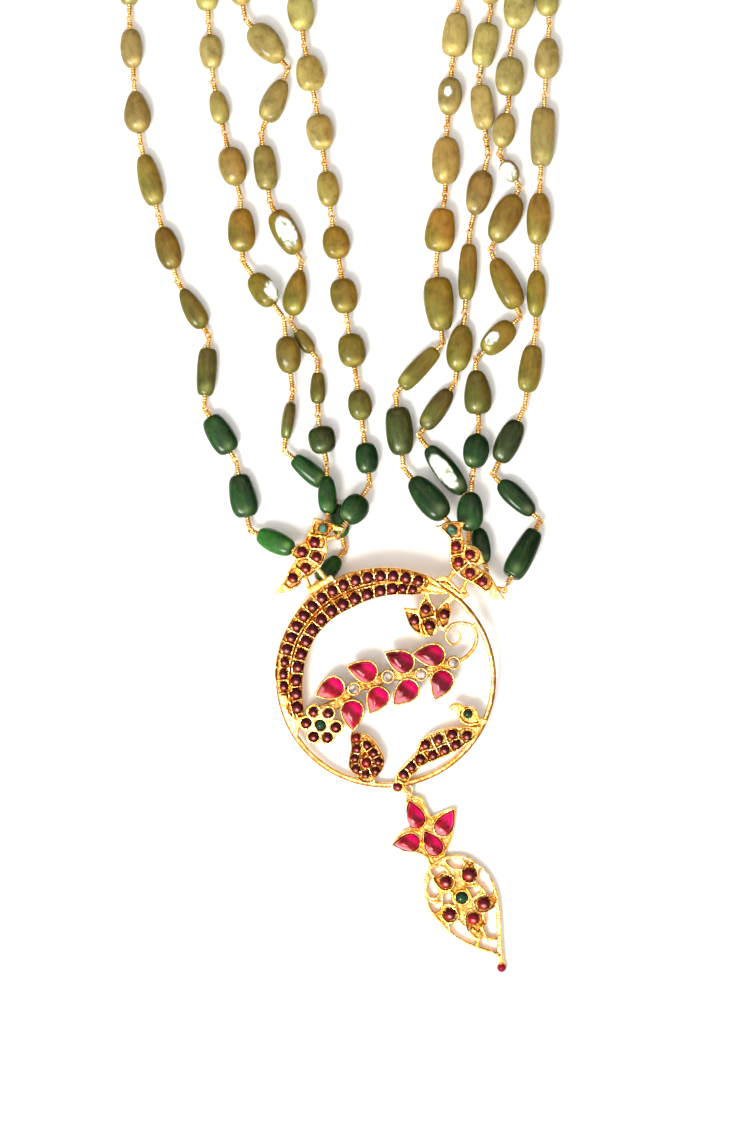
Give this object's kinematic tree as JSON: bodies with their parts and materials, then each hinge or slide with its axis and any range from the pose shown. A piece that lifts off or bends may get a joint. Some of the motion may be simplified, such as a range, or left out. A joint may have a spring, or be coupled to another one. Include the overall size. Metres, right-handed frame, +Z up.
{
  "type": "necklace",
  "caption": "Necklace of tumbled green bead strings wrapped in gold wire, joined to a round jewelled pendant with birds, leaves and a pierced drop, and closed by a clasp behind the neck.",
  "frame": {"origin": "middle of the underside of the bounding box, on the surface that the necklace lies on", "axes": "+Y from the pendant towards the clasp, along the necklace's length; +Z up, out of the pendant's jewelled face; +X to the right as the jewelled face is seen with the clasp up"},
  "size_m": [0.1028, 0.2968, 0.0097],
  "materials": {
    "bead": "polished translucent stone, khaki green at the neck to deep green at the pendant",
    "gold": "polished high-carat gold",
    "round_ruby": "polished domed stone",
    "pear_ruby": "polished domed stone",
    "green_stone": "polished stone",
    "diamond": "cut stone"
  },
  "bodies": {
    "root": {"beads_left_1": "bead", "beads_left_2": "bead", "beads_left_3": "bead", "beads_left_4": "bead", "beads_right_1": "bead", "beads_right_2": "bead", "beads_right_3": "bead", "beads_right_4": "bead", "wire_left_1": "gold", "wire_left_2": "gold", "wire_left_3": "gold", "wire_left_4": "gold", "wire_right_1": "gold", "wire_right_2": "gold", "wire_right_3": "gold", "wire_right_4": "gold", "clasp": "gold", "pendant_frame": "gold", "drop_frame": "gold", "crescent_outer_rubies": "round_ruby", "crescent_inner_rubies": "round_ruby", "left_bird_rubies": "round_ruby", "right_bird_rubies": "round_ruby", "leaf_rubies": "round_ruby", "flower_rubies": "round_ruby", "paisley_rubies": "round_ruby", "lower_bird_rubies": "round_ruby", "foot_ruby": "round_ruby", "drop_flower_rubies": "round_ruby", "end_ruby": "round_ruby", "spray_ruby_1": "pear_ruby", "spray_ruby_2": "pear_ruby", "spray_ruby_3": "pear_ruby", "spray_ruby_4": "pear_ruby", "spray_ruby_5": "pear_ruby", "spray_ruby_6": "pear_ruby", "spray_ruby_7": "pear_ruby", "spray_ruby_8": "pear_ruby", "drop_ruby_1": "pear_ruby", "drop_ruby_2": "pear_ruby", "drop_ruby_3": "pear_ruby", "drop_ruby_4": "pear_ruby", "spray_diamond_1": "diamond", "spray_diamond_2": "diamond", "spray_diamond_3": "diamond", "spray_diamond_4": "diamond", "left_bird_eye": "green_stone", "right_bird_eye": "green_stone", "lower_bird_eye": "green_stone", "flower_centre": "green_stone", "drop_flower_centre": "green_stone"}
  },
  "joints": []
}
